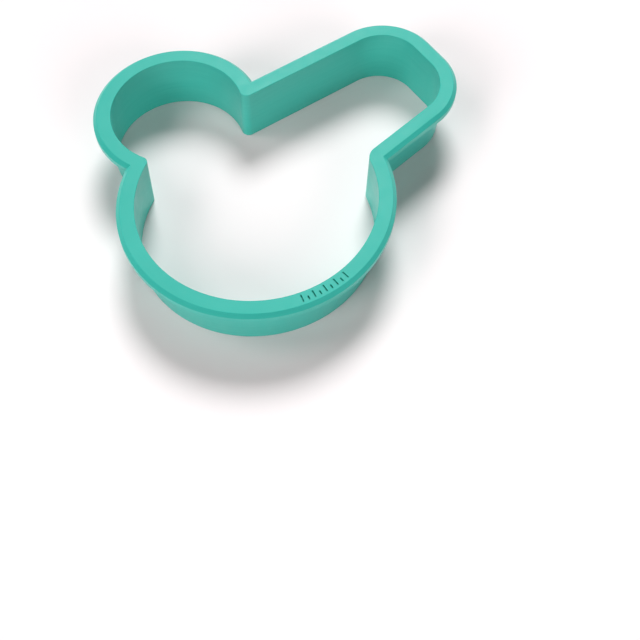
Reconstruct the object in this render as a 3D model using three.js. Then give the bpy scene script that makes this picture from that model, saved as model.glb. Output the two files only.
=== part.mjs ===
// Whistle-shaped cookie cutter of satin teal plastic, in millimetres with +Z up.
// It stands on its cutting edge with the flat grip rim on top and the mouthpiece along +X.
// The origin is on the table, under the middle of the rim's box.

import * as THREE from 'three';
import { mergeVertices } from 'three/addons/utils/BufferGeometryUtils.js';

// Cut outline, seen from above: the inner face of the wall, measured from the body's centre
const BODY_RADIUS = 31;
const BULB_RADIUS = 17.5;
const BULB_X = -2.7;
const BULB_Y = 36.7;
const MOUTH_TOP = 30.15; // to the mouthpiece's upper side, which is straight along X
const MOUTH_BOTTOM = 9.6; // to its lower side, which slopes up towards the end
const MOUTH_TAPER = THREE.MathUtils.degToRad(10.2);
const END_REACH = 63.6; // to the mouthpiece's end
const END_TILT = THREE.MathUtils.degToRad(2.4);
const TIP_TOP_RADIUS = 11.1;
const TIP_BOTTOM_RADIUS = 11.9;
const BULB_MOUTH_FILLET = 2;
const BULB_BODY_FILLET = 1.8;
const MOUTH_BODY_FILLET = 4;
const WIDENING = 1.05; // the drawn outline is a little stretched along X

// Section through the cutter, with widths measured outwards from the cut outline
const HEIGHT = 17.4;
const RIM_WIDTH = 4.7;
const RIM_THICKNESS = 2.7;
const RIM_CHAMFER = 1; // 45 degrees, along the rim's upper outer edge
const WALL_ROOT = 1.8; // wall thickness under the rim
const EDGE_LAND = 0.9; // thickness of the flat land that meets the dough
const EDGE_HEIGHT = 4; // how far up the cutting edge reaches

// Finish and fineness
const TEAL = 0x4fc4b0;
const ROUGHNESS = 0.45;
const ARC_STEP = THREE.MathUtils.degToRad(4);

// A straight side lies at a distance from the body's centre along its outward normal,
// and runs along a direction that points at the mouthpiece's end.
function straightSide(normalAngle, alongAngle, distance) {
  const normal = new THREE.Vector2(Math.cos(normalAngle), Math.sin(normalAngle));
  const along = new THREE.Vector2(Math.cos(alongAngle), Math.sin(alongAngle));
  return { normal, along, distance };
}

// The point at one distance along one normal and another along a second
function crossing(normalA, distanceA, normalB, distanceB) {
  const x = distanceA * normalB.y - distanceB * normalA.y;
  const y = normalA.x * distanceB - normalB.x * distanceA;
  return new THREE.Vector2(x, y).divideScalar(normalA.cross(normalB));
}

function arcBetween(centre, radius, from, to, clockwise) {
  const start = from.clone().sub(centre).angle();
  const end = to.clone().sub(centre).angle();
  return new THREE.EllipseCurve(centre.x, centre.y, radius, radius, start, end, clockwise);
}

// Convex corner of the mouthpiece's tip, from one straight side round to the next
function tipArc(sideA, sideB, radius) {
  const centre = crossing(sideA.normal, sideA.distance - radius, sideB.normal, sideB.distance - radius);
  const from = centre.clone().addScaledVector(sideA.normal, radius);
  const to = centre.clone().addScaledVector(sideB.normal, radius);
  return arcBetween(centre, radius, from, to, false);
}

function pointOnCircle(circle, towards) {
  return towards.clone().sub(circle.centre).setLength(circle.radius).add(circle.centre);
}

// Concave corner where a straight side leaves a circle
function sideFillet(side, circle, radius) {
  const rise = side.distance + radius - side.normal.dot(circle.centre);
  const run = Math.sqrt((circle.radius + radius) ** 2 - rise ** 2);
  const centre = circle.centre.clone().addScaledVector(side.normal, rise).addScaledVector(side.along, run);
  const onSide = centre.clone().addScaledVector(side.normal, -radius);
  return { centre, radius, onSide, onCircle: pointOnCircle(circle, centre) };
}

// Concave corner between two circles, on the left of the way from the first to the second
function circleFillet(first, second, radius) {
  const way = second.centre.clone().sub(first.centre);
  const span = way.length();
  const reachFirst = first.radius + radius;
  const reachSecond = second.radius + radius;
  const run = (span ** 2 + reachFirst ** 2 - reachSecond ** 2) / (2 * span);
  const rise = Math.sqrt(reachFirst ** 2 - run ** 2);
  const along = way.normalize();
  const left = new THREE.Vector2(-along.y, along.x);
  const centre = first.centre.clone().addScaledVector(along, run).addScaledVector(left, rise);
  return { centre, radius, onFirst: pointOnCircle(first, centre), onSecond: pointOnCircle(second, centre) };
}

// Arcs of the outline grown outwards by an offset, anticlockwise from the mouthpiece's root.
// Straight sides join the arcs that don't touch. A fillet tightens to a sharp notch as it grows.
function outlineArcs(offset) {
  const body = { centre: new THREE.Vector2(0, 0), radius: BODY_RADIUS + offset };
  const bulb = { centre: new THREE.Vector2(BULB_X, BULB_Y), radius: BULB_RADIUS + offset };
  const upper = straightSide(Math.PI / 2, 0, MOUTH_TOP + offset);
  const lower = straightSide(MOUTH_TAPER - Math.PI / 2, MOUTH_TAPER, MOUTH_BOTTOM + offset);
  const end = straightSide(END_TILT, END_TILT + Math.PI / 2, END_REACH + offset);
  const tightened = (radius) => Math.max(radius - offset, 0);
  const root = sideFillet(lower, body, tightened(MOUTH_BODY_FILLET));
  const notch = sideFillet(upper, bulb, tightened(BULB_MOUTH_FILLET));
  const waist = circleFillet(body, bulb, tightened(BULB_BODY_FILLET));
  return [
    arcBetween(root.centre, root.radius, root.onCircle, root.onSide, true),
    tipArc(lower, end, TIP_BOTTOM_RADIUS + offset),
    tipArc(end, upper, TIP_TOP_RADIUS + offset),
    arcBetween(notch.centre, notch.radius, notch.onSide, notch.onCircle, true),
    arcBetween(bulb.centre, bulb.radius, notch.onCircle, waist.onSecond, false),
    arcBetween(waist.centre, waist.radius, waist.onSecond, waist.onFirst, true),
    arcBetween(body.centre, body.radius, waist.onFirst, root.onCircle, false),
  ];
}

// Every offset takes the same number of points, so that its points lie opposite each other.
const arcSteps = outlineArcs(0).map((arc) => Math.ceil(arc.getLength() / arc.xRadius / ARC_STEP));

function outline(offset) {
  const drawn = outlineArcs(offset).flatMap((arc, index) => arc.getPoints(arcSteps[index]));
  return drawn.map((point) => new THREE.Vector2(point.x * WIDENING, point.y));
}

// Closed band round the outline. Its section lists [offset, z] corners, anticlockwise
// with the outside of the cutter on the right.
function bandGeometry(section) {
  const rings = section.map(([offset, z]) => outline(offset).map((point) => [point.x, point.y, z]));
  const count = rings[0].length;
  const index = [];
  for (let ring = 0; ring < rings.length; ring += 1) {
    const low = ring * count;
    const high = ((ring + 1) % rings.length) * count;
    for (let step = 0; step < count; step += 1) {
      const next = (step + 1) % count;
      index.push(low + step, low + next, high + next);
      index.push(low + step, high + next, high + step);
    }
  }
  const geometry = new THREE.BufferGeometry();
  geometry.setAttribute('position', new THREE.Float32BufferAttribute(rings.flat(2), 3));
  geometry.setIndex(index);
  return withoutSlivers(mergeVertices(geometry));
}

// Where arcs meet or a fillet has closed up, points coincide and their triangles are left out.
function withoutSlivers(geometry) {
  const corners = geometry.index.array;
  const kept = [];
  for (let start = 0; start < corners.length; start += 3) {
    const triangle = [...corners.slice(start, start + 3)];
    if (new Set(triangle).size === 3) kept.push(...triangle);
  }
  geometry.setIndex(kept);
  geometry.computeVertexNormals();
  return geometry;
}

function tealPlastic() {
  return new THREE.MeshStandardMaterial({ color: TEAL, roughness: ROUGHNESS, metalness: 0 });
}

function band(name, section) {
  const mesh = new THREE.Mesh(bandGeometry(section), tealPlastic());
  mesh.name = name;
  return mesh;
}

// The wall's outer face is one straight slope from the rim down to the land.
const rimUnderside = HEIGHT - RIM_THICKNESS;
const edgeThickness = THREE.MathUtils.lerp(EDGE_LAND, WALL_ROOT, EDGE_HEIGHT / rimUnderside);

const gripRim = band('grip_rim', [
  [0, rimUnderside],
  [RIM_WIDTH, rimUnderside],
  [RIM_WIDTH, HEIGHT - RIM_CHAMFER],
  [RIM_WIDTH - RIM_CHAMFER, HEIGHT],
  [0, HEIGHT],
]);

const cutterWall = band('cutter_wall', [
  [0, EDGE_HEIGHT],
  [edgeThickness, EDGE_HEIGHT],
  [WALL_ROOT, rimUnderside],
  [0, rimUnderside],
]);

const cuttingEdge = band('cutting_edge', [
  [0, 0],
  [EDGE_LAND, 0],
  [edgeThickness, EDGE_HEIGHT],
  [0, EDGE_HEIGHT],
]);

const cutter = new THREE.Group();
cutter.add(gripRim, cutterWall, cuttingEdge);
const middle = new THREE.Box2().setFromPoints(outline(RIM_WIDTH)).getCenter(new THREE.Vector2());
cutter.position.set(-middle.x, -middle.y, 0);

export default cutter;
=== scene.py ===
"""Looks of the whistle-shaped cookie cutter: satin teal plastic on a pale floor, in soft light."""

import math

import bmesh
import bpy
from mathutils import Matrix, Vector


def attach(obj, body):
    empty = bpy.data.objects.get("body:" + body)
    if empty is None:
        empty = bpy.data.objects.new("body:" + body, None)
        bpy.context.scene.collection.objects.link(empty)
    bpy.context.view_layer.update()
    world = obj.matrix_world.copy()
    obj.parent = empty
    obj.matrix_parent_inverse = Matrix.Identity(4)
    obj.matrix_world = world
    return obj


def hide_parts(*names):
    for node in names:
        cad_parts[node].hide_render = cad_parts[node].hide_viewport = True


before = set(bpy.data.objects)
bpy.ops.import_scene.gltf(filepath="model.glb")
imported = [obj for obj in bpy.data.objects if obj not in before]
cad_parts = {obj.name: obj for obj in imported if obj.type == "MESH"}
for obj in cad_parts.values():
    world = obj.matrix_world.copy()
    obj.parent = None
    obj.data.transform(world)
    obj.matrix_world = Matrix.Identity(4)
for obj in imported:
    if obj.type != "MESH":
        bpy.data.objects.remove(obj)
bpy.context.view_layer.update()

MM = 0.001  # lengths below are in millimetres, angles in degrees

# Cut outline, seen from above: the inner face of the wall, measured from the body's centre
BODY_CENTRE = Vector((-16.8815, -11.6008))  # where that centre lies in the frame
BODY_RADIUS = 31.0
BULB_RADIUS = 17.5
BULB_AT = Vector((-2.7, 36.7))
MOUTH_TOP = 30.15
MOUTH_BOTTOM = 9.6
MOUTH_TAPER = 10.2
END_REACH = 63.6
END_TILT = 2.4
TIP_TOP_RADIUS = 11.1
TIP_BOTTOM_RADIUS = 11.9
BULB_MOUTH_FILLET = 2.0
BULB_BODY_FILLET = 1.8
MOUTH_BODY_FILLET = 4.0
WIDENING = 1.05  # the drawn outline is a little stretched along X

# Section through the cutter, with widths measured outwards from the cut outline
HEIGHT = 17.4
RIM_WIDTH = 4.68  # a hair inside the solid, whose facets cut the curves short
RIM_THICKNESS = 2.7
RIM_CHAMFER = 1.0
WALL_ROOT = 1.8
EDGE_LAND = 0.9
EDGE_HEIGHT = 4.0

# Softened edges
EDGE_ROUND = 0.15
LAND_ROUND = 0.1
ROUND_STEPS = 4
HOLD = 0.02  # a loop this far from each rounded edge keeps the flat faces flat

# Fineness of the meshes
ARC_STEP = 1.0
LEAST_STEPS = 12
WELD_REACH = 0.0005  # points closer than this are one
CREASE_ANGLE = 35.0  # corners sharper than this stay crisp

# Plain engraved strokes on the rim, long and short by turns
STROKE_COUNT = 9
STROKE_MIDDLE = -91.15  # direction from the body's centre
STROKE_SPACING = 2.71
STROKE_FOOT = 2.95  # outer ends, measured outwards from the cut outline
LONG_STROKE = 2.2
SHORT_STROKE = 1.3
STROKE_WIDTH = 0.42
STROKE_DEPTH = 0.5
STROKE_HEADROOM = 1.0  # how far the cutting prisms reach above the rim
STROKE_END_STEPS = 8

# Plastic: pigment mottling squeezed along Z into faint streaks round the upright faces,
# slightly uneven gloss and a fine matte grain
DEEP_TEAL = (0.046, 0.518, 0.432)
PALE_TEAL = (0.054, 0.542, 0.454)
MOTTLE_PER_METRE = 60
MOTTLE_DETAIL = 3
LAYER_STRETCH = 20.0
LEAST_ROUGHNESS = 0.33
MOST_ROUGHNESS = 0.41
DIFFUSE_ROUGHNESS = 0.5
GLOSS_PER_METRE = 400
GLOSS_DETAIL = 4
GRAIN_PER_METRE = 5000
GRAIN_DETAIL = 2
GRAIN_HEIGHT = 0.02
GRAIN_STRENGTH = 0.15
NOISE_LOW = 0.3  # most of each noise lies between these two
NOISE_HIGH = 0.7

# Camera, at the photograph's viewing angle
CAMERA_AT = Vector((-99.178, -153.402, 248.466))
CAMERA_HEADING = 36.436  # to the right of +Y
CAMERA_DIP = 61.225  # below level
CAMERA_ROLL = 2.664  # its right side tilts up
LENS = 60.105
SENSOR_WIDTH = 36.0
CLIP_START = 10.0

# Floor, a little warm
FLOOR_DROP = 0.05  # it lies this far under the cutter
FLOOR_HALF = 20000.0
FLOOR_COLOUR = (0.92, 0.865, 0.872)
FLOOR_ROUGHNESS = 0.9

# Lights: azimuth anticlockwise from +X, elevation, spread and strength
KEY_LIGHT = (54, 50, 25, 2.80)
LEFT_BACK_LIGHT = (144, 50, 24, 0.62)
LEFT_LIGHT = (188, 31, 26, 1.32)
RIGHT_FILL_LIGHT = (273, 27, 28, 1.08)
SHEEN_LIGHT = (56, 50, 16, 0.39)
COOL = (0.955, 1.0, 1.0)
WARM = (1.0, 0.93, 0.935)
WHITE = (1.0, 1.0, 1.0)


def direction(angle):
    turn = math.radians(angle)
    return Vector((math.cos(turn), math.sin(turn)))


def angle_of(vector):
    return math.degrees(math.atan2(vector.y, vector.x))


class Arc:
    """Part of a circle, anticlockwise unless its sweep is negative."""

    def __init__(self, centre, radius, start, sweep):
        self.centre = centre
        self.radius = radius
        self.start = start
        self.sweep = sweep

    def points(self, steps):
        turns = [self.start + self.sweep * step / steps for step in range(steps + 1)]
        return [self.centre + self.radius * direction(turn) for turn in turns]


class Side:
    """A straight side at a distance from the body's centre along its outward normal."""

    def __init__(self, normal_angle, along_angle, distance):
        self.normal = direction(normal_angle)
        self.along = direction(along_angle)
        self.distance = distance


def arc_between(centre, radius, start, end, clockwise=False):
    """Arc from the direction of one point to that of another."""
    first = angle_of(start - centre)
    sweep = (angle_of(end - centre) - first) % 360
    if clockwise:
        sweep -= 360
    return Arc(centre, radius, first, sweep)


def tip_arc(side_a, side_b, radius):
    """Convex corner of the mouthpiece's tip, from one straight side round to the next."""
    a = side_a.distance - radius
    b = side_b.distance - radius
    cross = side_a.normal.cross(side_b.normal)
    x = (a * side_b.normal.y - b * side_a.normal.y) / cross
    y = (side_a.normal.x * b - side_b.normal.x * a) / cross
    centre = Vector((x, y))
    return arc_between(centre, radius, centre + side_a.normal, centre + side_b.normal)


def side_fillet(side, centre, circle_radius, radius):
    """Centre of the concave corner where a straight side leaves a circle."""
    rise = side.distance + radius - side.normal.dot(centre)
    run = math.sqrt((circle_radius + radius) ** 2 - rise ** 2)
    return centre + rise * side.normal + run * side.along


def circle_fillet(first, first_radius, second, second_radius, radius):
    """Centre of the concave corner between two circles, on the left of the way between them."""
    way = second - first
    reach_first = first_radius + radius
    reach_second = second_radius + radius
    run = (way.length_squared + reach_first ** 2 - reach_second ** 2) / (2 * way.length)
    rise = math.sqrt(reach_first ** 2 - run ** 2)
    along = way.normalized()
    left = Vector((-along.y, along.x))
    return first + run * along + rise * left


def outline_arcs(offset):
    """Arcs of the outline grown outwards by an offset, anticlockwise from the mouthpiece's root.

    A fillet tightens to a sharp notch as it grows.
    """
    body = Vector((0, 0))
    body_radius = BODY_RADIUS + offset
    bulb_radius = BULB_RADIUS + offset
    upper = Side(90, 0, MOUTH_TOP + offset)
    lower = Side(MOUTH_TAPER - 90, MOUTH_TAPER, MOUTH_BOTTOM + offset)
    end = Side(END_TILT, END_TILT + 90, END_REACH + offset)
    root_radius = max(MOUTH_BODY_FILLET - offset, 0)
    notch_radius = max(BULB_MOUTH_FILLET - offset, 0)
    waist_radius = max(BULB_BODY_FILLET - offset, 0)
    root = side_fillet(lower, body, body_radius, root_radius)
    notch = side_fillet(upper, BULB_AT, bulb_radius, notch_radius)
    waist = circle_fillet(body, body_radius, BULB_AT, bulb_radius, waist_radius)
    return [
        arc_between(root, root_radius, body, root - lower.normal, clockwise=True),
        tip_arc(lower, end, TIP_BOTTOM_RADIUS + offset),
        tip_arc(end, upper, TIP_TOP_RADIUS + offset),
        arc_between(notch, notch_radius, notch - upper.normal, BULB_AT, clockwise=True),
        arc_between(BULB_AT, bulb_radius, notch, waist),
        arc_between(waist, waist_radius, BULB_AT, body, clockwise=True),
        arc_between(body, body_radius, waist, root),
    ]


ARC_STEPS = [max(LEAST_STEPS, math.ceil(abs(arc.sweep) / ARC_STEP)) for arc in outline_arcs(0)]


def placed(drawn):
    """Where a drawn point lies in the frame."""
    return BODY_CENTRE + Vector((drawn.x * WIDENING, drawn.y))


def outline(offset):
    """Points round the outline, in the frame. Every offset has the same number of them."""
    arcs = zip(outline_arcs(offset), ARC_STEPS)
    return [placed(point) for arc, steps in arcs for point in arc.points(steps)]


def rounded(section):
    """Rounds each corner (offset, z, radius) of a section, with a holding loop on either side."""
    points = []
    for index, (offset, z, radius) in enumerate(section):
        corner = Vector((offset, z))
        if radius == 0:
            points.append(corner)
            continue
        before = Vector(section[index - 1][:2])
        after = Vector(section[(index + 1) % len(section)][:2])
        to_before = (before - corner).normalized()
        to_after = (after - corner).normalized()
        half = to_before.angle(to_after) / 2
        reach = radius / math.tan(half)
        middle = corner + (to_before + to_after).normalized() * (radius / math.sin(half))
        first = angle_of(corner + reach * to_before - middle)
        last = angle_of(corner + reach * to_after - middle)
        turn = (last - first + 180) % 360 - 180
        points.append(corner + (reach + HOLD) * to_before)
        points.extend(Arc(middle, radius, first, turn).points(ROUND_STEPS))
        points.append(corner + (reach + HOLD) * to_after)
    return points


def band(name, section):
    """Closed band round the outline, with a section whose corners run anticlockwise.

    The outside of the cutter is on the section's right.
    """
    rings = [(outline(point.x), point.y) for point in rounded(section)]
    count = len(rings[0][0])
    vertices = [(p.x * MM, p.y * MM, z * MM) for ring, z in rings for p in ring]
    faces = []
    for ring in range(len(rings)):
        low = ring * count
        high = (ring + 1) % len(rings) * count
        for step in range(count):
            after = (step + 1) % count
            faces.append((low + step, low + after, high + after, high + step))
    mesh = bpy.data.meshes.new(name)
    mesh.from_pydata(vertices, [], faces)
    weld(mesh)
    piece = bpy.data.objects.new(name, mesh)
    bpy.context.scene.collection.objects.link(piece)
    return piece


def weld(mesh):
    """Joins the points that coincide where arcs meet or a fillet has closed up."""
    work = bmesh.new()
    work.from_mesh(mesh)
    bmesh.ops.remove_doubles(work, verts=work.verts, dist=WELD_REACH * MM)
    bmesh.ops.dissolve_degenerate(work, edges=work.edges, dist=WELD_REACH * MM)
    bmesh.ops.recalc_face_normals(work, faces=work.faces)
    work.to_mesh(mesh)
    work.free()


def stroke_prism(work, angle, length):
    """One stroke with round ends, standing on the bottom of its groove and reaching above the rim."""
    out = direction(angle)
    across = Vector((-out.y, out.x))
    foot = BODY_RADIUS + STROKE_FOOT
    radius = STROKE_WIDTH / 2
    corners = []
    for centre, first in ((foot - radius, -90), (foot - length + radius, 90)):
        for step in range(STROKE_END_STEPS + 1):
            turn = math.radians(first + 180 * step / STROKE_END_STEPS)
            along = centre + radius * math.cos(turn)
            corners.append(placed(along * out + radius * math.sin(turn) * across))
    rings = []
    for z in (HEIGHT - STROKE_DEPTH, HEIGHT + STROKE_HEADROOM):
        rings.append([work.verts.new((c.x * MM, c.y * MM, z * MM)) for c in corners])
    bottom, top = rings
    work.faces.new(reversed(bottom))
    work.faces.new(top)
    for index in range(len(corners)):
        after = (index + 1) % len(corners)
        work.faces.new((bottom[index], bottom[after], top[after], top[index]))


def engrave(rim):
    """Cuts the row of plain strokes into the rim's flat top."""
    work = bmesh.new()
    for index in range(STROKE_COUNT):
        angle = STROKE_MIDDLE + (index - (STROKE_COUNT - 1) / 2) * STROKE_SPACING
        stroke_prism(work, angle, SHORT_STROKE if index % 2 else LONG_STROKE)
    mesh = bpy.data.meshes.new("strokes")
    work.to_mesh(mesh)
    work.free()
    strokes = bpy.data.objects.new("strokes", mesh)
    bpy.context.scene.collection.objects.link(strokes)
    cut = rim.modifiers.new("strokes", "BOOLEAN")
    cut.operation = "DIFFERENCE"
    cut.solver = "EXACT"
    cut.object = strokes
    graph = bpy.context.evaluated_depsgraph_get()
    engraved = bpy.data.meshes.new_from_object(rim.evaluated_get(graph))
    rim.modifiers.clear()
    rim.data = engraved
    bpy.data.objects.remove(strokes)


def smooth(piece):
    """Smooth shading that keeps the crisp corners crisp."""
    for polygon in piece.data.polygons:
        polygon.use_smooth = True
    piece.data.set_sharp_from_angle(angle=math.radians(CREASE_ANGLE))


def noise(tree, coordinates, per_metre, detail):
    made = tree.nodes.new("ShaderNodeTexNoise")
    made.inputs["Scale"].default_value = per_metre
    made.inputs["Detail"].default_value = detail
    tree.links.new(coordinates, made.inputs["Vector"])
    return made.outputs["Fac"]


def mixed_tones(tree, factor, low, high):
    """Two tones, mixed by a noise."""
    made = tree.nodes.new("ShaderNodeValToRGB")
    made.color_ramp.elements[0].position = NOISE_LOW
    made.color_ramp.elements[0].color = (*low, 1)
    made.color_ramp.elements[1].position = NOISE_HIGH
    made.color_ramp.elements[1].color = (*high, 1)
    tree.links.new(factor, made.inputs["Fac"])
    return made.outputs["Color"]


def mixed_values(tree, factor, low, high):
    """Two values, mixed by a noise."""
    made = tree.nodes.new("ShaderNodeMapRange")
    made.inputs["From Min"].default_value = NOISE_LOW
    made.inputs["From Max"].default_value = NOISE_HIGH
    made.inputs["To Min"].default_value = low
    made.inputs["To Max"].default_value = high
    tree.links.new(factor, made.inputs["Value"])
    return made.outputs["Result"]


def teal_plastic():
    material = bpy.data.materials.new("teal_plastic")
    material.use_nodes = True
    tree = material.node_tree
    shader = tree.nodes["Principled BSDF"]
    place = tree.nodes.new("ShaderNodeTexCoord").outputs["Object"]
    layers = tree.nodes.new("ShaderNodeMapping")
    layers.inputs["Scale"].default_value = (1, 1, LAYER_STRETCH)
    tree.links.new(place, layers.inputs["Vector"])
    mottle = noise(tree, layers.outputs["Vector"], MOTTLE_PER_METRE, MOTTLE_DETAIL)
    gloss = noise(tree, place, GLOSS_PER_METRE, GLOSS_DETAIL)
    grain = noise(tree, place, GRAIN_PER_METRE, GRAIN_DETAIL)
    colour = mixed_tones(tree, mottle, DEEP_TEAL, PALE_TEAL)
    tree.links.new(colour, shader.inputs["Base Color"])
    roughness = mixed_values(tree, gloss, LEAST_ROUGHNESS, MOST_ROUGHNESS)
    tree.links.new(roughness, shader.inputs["Roughness"])
    shader.inputs["Diffuse Roughness"].default_value = DIFFUSE_ROUGHNESS
    bump = tree.nodes.new("ShaderNodeBump")
    bump.inputs["Strength"].default_value = GRAIN_STRENGTH
    bump.inputs["Distance"].default_value = GRAIN_HEIGHT * MM
    tree.links.new(grain, bump.inputs["Height"])
    tree.links.new(bump.outputs["Normal"], shader.inputs["Normal"])
    return material


def floor_material():
    material = bpy.data.materials.new("pale_floor")
    material.use_nodes = True
    shader = material.node_tree.nodes["Principled BSDF"]
    shader.inputs["Base Color"].default_value = (*FLOOR_COLOUR, 1)
    shader.inputs["Roughness"].default_value = FLOOR_ROUGHNESS
    shader.inputs["Specular IOR Level"].default_value = 0.0
    return material


def lay_floor():
    half = FLOOR_HALF * MM
    z = -FLOOR_DROP * MM
    corners = [(-half, -half, z), (half, -half, z), (half, half, z), (-half, half, z)]
    mesh = bpy.data.meshes.new("floor")
    mesh.from_pydata(corners, [], [(0, 1, 2, 3)])
    mesh.materials.append(floor_material())
    floor = bpy.data.objects.new("floor", mesh)
    bpy.context.scene.collection.objects.link(floor)


def soft_light(name, setting, tint):
    """Even light from far away, softened by its spread."""
    azimuth, elevation, spread, strength = setting
    flat = direction(azimuth)
    rise = math.radians(elevation)
    way = Vector((flat.x * math.cos(rise), flat.y * math.cos(rise), math.sin(rise)))
    lamp = bpy.data.lights.new(name, "SUN")
    lamp.angle = math.radians(spread)
    lamp.energy = strength
    lamp.color = tint
    light = bpy.data.objects.new(name, lamp)
    light.rotation_euler = way.to_track_quat("Z", "Y").to_euler()
    bpy.context.scene.collection.objects.link(light)
    return light


def light_studio():
    """Four lights without highlights, and a fifth that gives only the rim's sheen."""
    plain_lights = (
        soft_light("back_key", KEY_LIGHT, COOL),
        soft_light("left_back", LEFT_BACK_LIGHT, WARM),
        soft_light("left_light", LEFT_LIGHT, WARM),
        soft_light("right_fill", RIGHT_FILL_LIGHT, WARM),
    )
    for light in plain_lights:
        light.visible_glossy = False
    sheen = soft_light("sheen", SHEEN_LIGHT, WHITE)
    sheen.visible_diffuse = False
    bpy.context.scene.view_settings.view_transform = "Standard"


def hang_backdrop():
    """White all round behind the floor, which lights nothing."""
    world = bpy.data.worlds.new("backdrop")
    world.use_nodes = True
    sky = world.node_tree.nodes["Background"]
    sky.inputs["Color"].default_value = (*WHITE, 1)
    sky.inputs["Strength"].default_value = 1.0
    bpy.context.scene.world = world
    world.cycles_visibility.diffuse = False
    world.cycles_visibility.glossy = False


def place_camera():
    heading = math.radians(CAMERA_HEADING)
    dip = math.radians(CAMERA_DIP)
    roll = math.radians(CAMERA_ROLL)
    ahead = Vector((
        math.sin(heading) * math.cos(dip),
        math.cos(heading) * math.cos(dip),
        -math.sin(dip),
    ))
    level = ahead.cross(Vector((0, 0, 1))).normalized()
    upright = level.cross(ahead)
    right = math.cos(roll) * level + math.sin(roll) * upright
    up = right.cross(ahead)
    lens = bpy.data.cameras.new("camera")
    lens.lens = LENS
    lens.sensor_width = SENSOR_WIDTH
    lens.clip_start = CLIP_START * MM
    camera = bpy.data.objects.new("camera", lens)
    turned = Matrix((right, up, -ahead)).transposed().to_4x4()
    camera.matrix_world = Matrix.Translation(CAMERA_AT * MM) @ turned
    bpy.context.scene.collection.objects.link(camera)
    bpy.context.scene.camera = camera


underside = HEIGHT - RIM_THICKNESS
wall_slope = (WALL_ROOT - EDGE_LAND) / underside
edge_thickness = EDGE_LAND + wall_slope * EDGE_HEIGHT

rim = band("grip_rim_plastic", [
    (0, underside, 0),
    (RIM_WIDTH, underside, EDGE_ROUND),
    (RIM_WIDTH, HEIGHT - RIM_CHAMFER, EDGE_ROUND),
    (RIM_WIDTH - RIM_CHAMFER, HEIGHT, EDGE_ROUND),
    (0, HEIGHT, EDGE_ROUND),
])
engrave(rim)

wall = band("cutter_wall_plastic", [
    (0, EDGE_HEIGHT, 0),
    (edge_thickness, EDGE_HEIGHT, 0),
    (WALL_ROOT, underside, 0),
    (0, underside, 0),
])

edge = band("cutting_edge_plastic", [
    (0, 0, LAND_ROUND),
    (EDGE_LAND, 0, LAND_ROUND),
    (edge_thickness, EDGE_HEIGHT, 0),
    (0, EDGE_HEIGHT, 0),
])

plastic = teal_plastic()
for piece, replaced in ((rim, "grip_rim"), (wall, "cutter_wall"), (edge, "cutting_edge")):
    smooth(piece)
    piece.data.materials.clear()
    piece.data.materials.append(plastic)
    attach(piece, "root")
    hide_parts(replaced)

lay_floor()
light_studio()
hang_backdrop()
place_camera()
